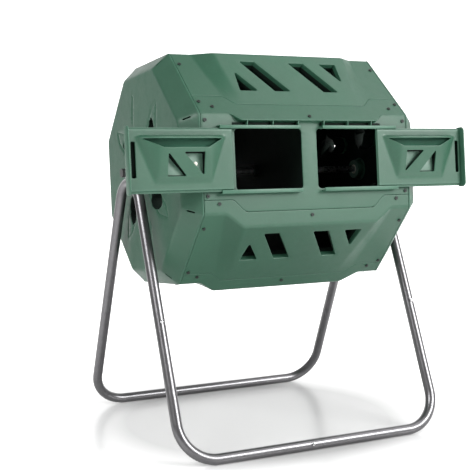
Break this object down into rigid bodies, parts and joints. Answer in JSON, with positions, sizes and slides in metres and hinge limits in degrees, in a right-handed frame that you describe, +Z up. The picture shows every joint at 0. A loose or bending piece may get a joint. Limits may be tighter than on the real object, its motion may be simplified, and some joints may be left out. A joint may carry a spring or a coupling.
{
  "type": "compost tumbler",
  "caption": "Octagonal two-chamber compost tumbler with two sliding doors, turning on an axle in a bent steel tube stand.",
  "frame": {"origin": "on the floor under the middle of the axle", "axes": "+X along the axle to the right as seen from the door side, +Y away from the door side, +Z up"},
  "size_m": [0.8775, 0.6456, 0.9225],
  "materials": {
    "green_plastic": "fine moulded grain",
    "door_plastic": "fine moulded grain",
    "stand_steel": "grey hammered satin",
    "bright_steel": "zinc plated",
    "screw_steel": "dark",
    "black_plastic": "matte",
    "bush_plastic": "natural nylon"
  },
  "bodies": {
    "stand": {"upper_frame_left": "stand_steel", "upper_frame_right": "stand_steel", "lower_tube_front_left": "stand_steel", "lower_tube_front_right": "stand_steel", "lower_tube_back_left": "stand_steel", "lower_tube_back_right": "stand_steel", "axle_sleeve_left": "stand_steel", "axle_sleeve_right": "stand_steel", "axle_tube": "bright_steel", "axle_plug_left": "black_plastic", "axle_plug_right": "black_plastic", "axle_pins": "bright_steel", "thrust_washer_left": "bright_steel", "thrust_washer_right": "bright_steel", "snap_springs": "bright_steel"},
    "drum": {"end_panel_left": "green_plastic", "end_panel_right": "green_plastic", "axle_bush_left": "bush_plastic", "axle_bush_right": "bush_plastic", "centre_partition": "green_plastic", "door_panel": "green_plastic", "panel_upper_front": "green_plastic", "panel_top": "green_plastic", "panel_upper_back": "green_plastic", "panel_back": "green_plastic", "panel_lower_back": "green_plastic", "panel_bottom": "green_plastic", "panel_lower_front": "green_plastic", "end_screws_left": "screw_steel", "end_screws_right": "screw_steel", "seam_screws": "screw_steel"},
    "door_left": {"door_left": "door_plastic"},
    "door_right": {"door_right": "door_plastic"},
    "button_leg_front_left": {"button_leg_front_left": "bright_steel"},
    "button_leg_front_right": {"button_leg_front_right": "bright_steel"},
    "button_leg_back_left": {"button_leg_back_left": "bright_steel"},
    "button_leg_back_right": {"button_leg_back_right": "bright_steel"},
    "button_rail_front": {"button_rail_front": "bright_steel"},
    "button_rail_back": {"button_rail_back": "bright_steel"}
  },
  "joints": [
    {"name": "drum_spin", "type": "hinge", "parent": "stand", "child": "drum", "pos_m": [0, 0, 0.64], "axis": [1, 0, 0], "range_deg": [-205, 40]},
    {"name": "door_left_slide", "type": "slide", "parent": "drum", "child": "door_left", "axis": [1, 0, 0], "range_m": [0, 0.201]},
    {"name": "door_right_slide", "type": "slide", "parent": "drum", "child": "door_right", "axis": [-1, 0, 0], "range_m": [-0.026, 0.1745]},
    {"name": "button_leg_front_left_press", "type": "slide", "parent": "stand", "child": "button_leg_front_left", "axis": [0, 0.9188, -0.3946], "range_m": [0, 0.004], "stiffness_N_per_m": 1500},
    {"name": "button_leg_front_right_press", "type": "slide", "parent": "stand", "child": "button_leg_front_right", "axis": [0, 0.9188, -0.3946], "range_m": [0, 0.004], "stiffness_N_per_m": 1500},
    {"name": "button_leg_back_left_press", "type": "slide", "parent": "stand", "child": "button_leg_back_left", "axis": [0, -0.9188, -0.3946], "range_m": [0, 0.004], "stiffness_N_per_m": 1500},
    {"name": "button_leg_back_right_press", "type": "slide", "parent": "stand", "child": "button_leg_back_right", "axis": [0, -0.9188, -0.3946], "range_m": [0, 0.004], "stiffness_N_per_m": 1500},
    {"name": "button_rail_front_press", "type": "slide", "parent": "stand", "child": "button_rail_front", "axis": [0, 0.9188, -0.3946], "range_m": [0, 0.004], "stiffness_N_per_m": 1500},
    {"name": "button_rail_back_press", "type": "slide", "parent": "stand", "child": "button_rail_back", "axis": [0, -0.9188, -0.3946], "range_m": [0, 0.004], "stiffness_N_per_m": 1500}
  ]
}
